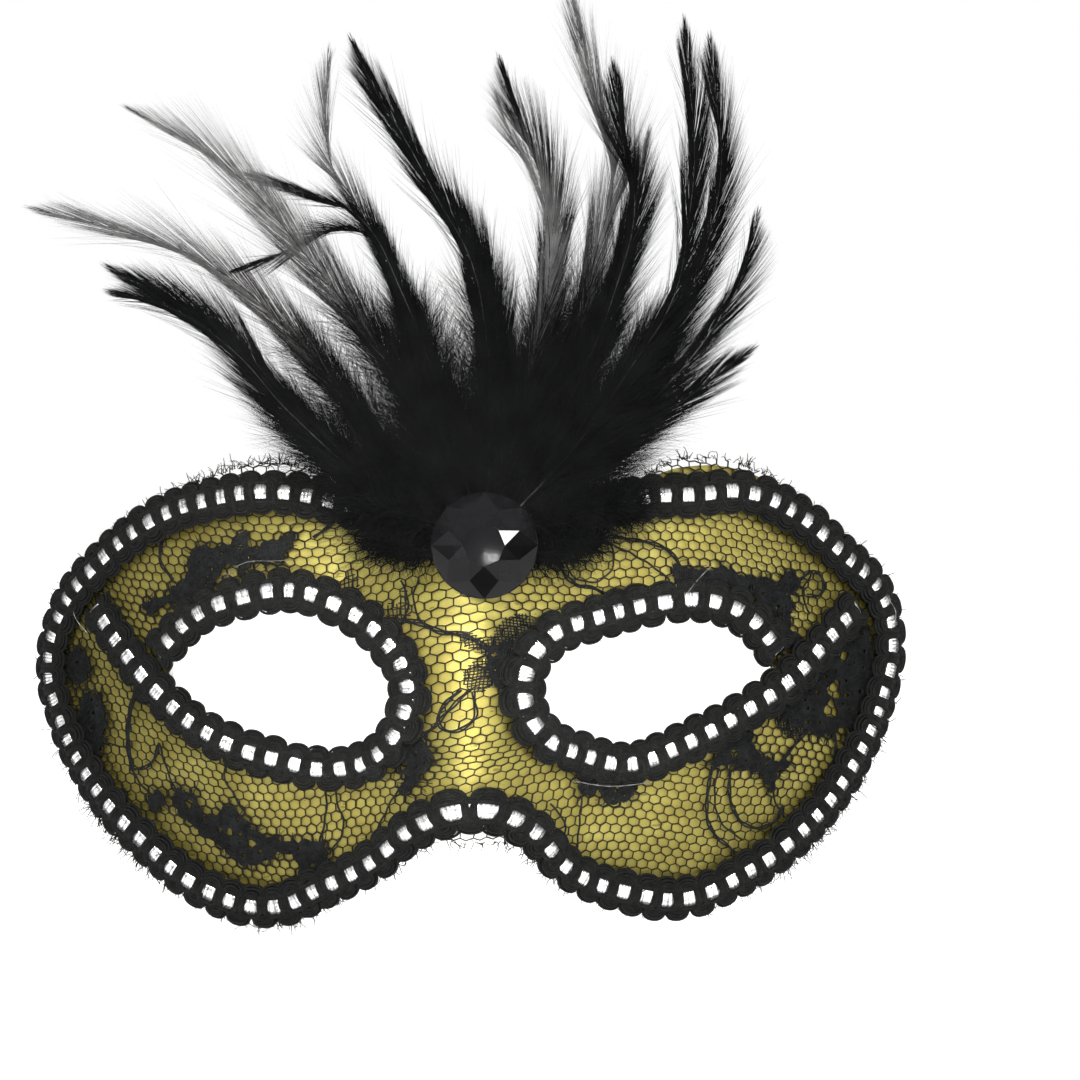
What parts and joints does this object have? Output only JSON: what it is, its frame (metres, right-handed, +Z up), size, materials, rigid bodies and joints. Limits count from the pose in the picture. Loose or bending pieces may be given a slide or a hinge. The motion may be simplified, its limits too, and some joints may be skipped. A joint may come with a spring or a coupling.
{
  "type": "masquerade half mask",
  "caption": "Gold satin and black lace masquerade half mask with gimp braid trim, a round black gem and a fan of black hackle feathers.",
  "frame": {"origin": "the shell's inner surface at the bridge of the nose, level with the eyes", "axes": "+Z up the face, the mask looks along -Y, +X to the right as a viewer sees it"},
  "size_m": [0.1753, 0.051, 0.1814],
  "materials": {
    "moulded_plastic": "off-white vacuum-formed sheet, slightly milky",
    "gold_satin": "glossy acetate satin, yellow gold with olive shadows",
    "black_lace": "matt black nylon net with dense woven floral motifs",
    "black_yarn": "matt black viscose gimp cord, slightly fuzzy",
    "silver_foil": "aluminised film strip, mirror bright with fine folds",
    "jet_acrylic": "polished faceted black acrylic",
    "black_felt": "matt black felt",
    "black_plumage": "dyed black hackle, soft sheen, grey and see-through where thin",
    "patch_cloth": "matt charcoal woven tape"
  },
  "bodies": {
    "root": {"base_shell": "moulded_plastic", "satin_cover": "gold_satin", "lace_overlay": "black_lace", "outer_braid": "black_yarn", "left_eye_braid": "black_yarn", "right_eye_braid": "black_yarn", "outer_silver_tape": "silver_foil", "left_eye_silver_tape": "silver_foil", "right_eye_silver_tape": "silver_foil", "plume_pad": "black_felt", "gem": "jet_acrylic", "strap_patch_left": "patch_cloth", "strap_patch_right": "patch_cloth", "feather_01": "black_plumage", "feather_02": "black_plumage", "feather_03": "black_plumage", "feather_04": "black_plumage", "feather_05": "black_plumage", "feather_06": "black_plumage", "feather_07": "black_plumage", "feather_08": "black_plumage", "feather_09": "black_plumage", "feather_10": "black_plumage", "feather_11": "black_plumage", "feather_12": "black_plumage", "feather_13": "black_plumage", "feather_14": "black_plumage", "feather_15": "black_plumage", "feather_16": "black_plumage", "feather_17": "black_plumage", "feather_18": "black_plumage", "down_feather_1": "black_plumage", "down_feather_2": "black_plumage", "down_feather_3": "black_plumage", "down_feather_4": "black_plumage"}
  },
  "joints": []
}
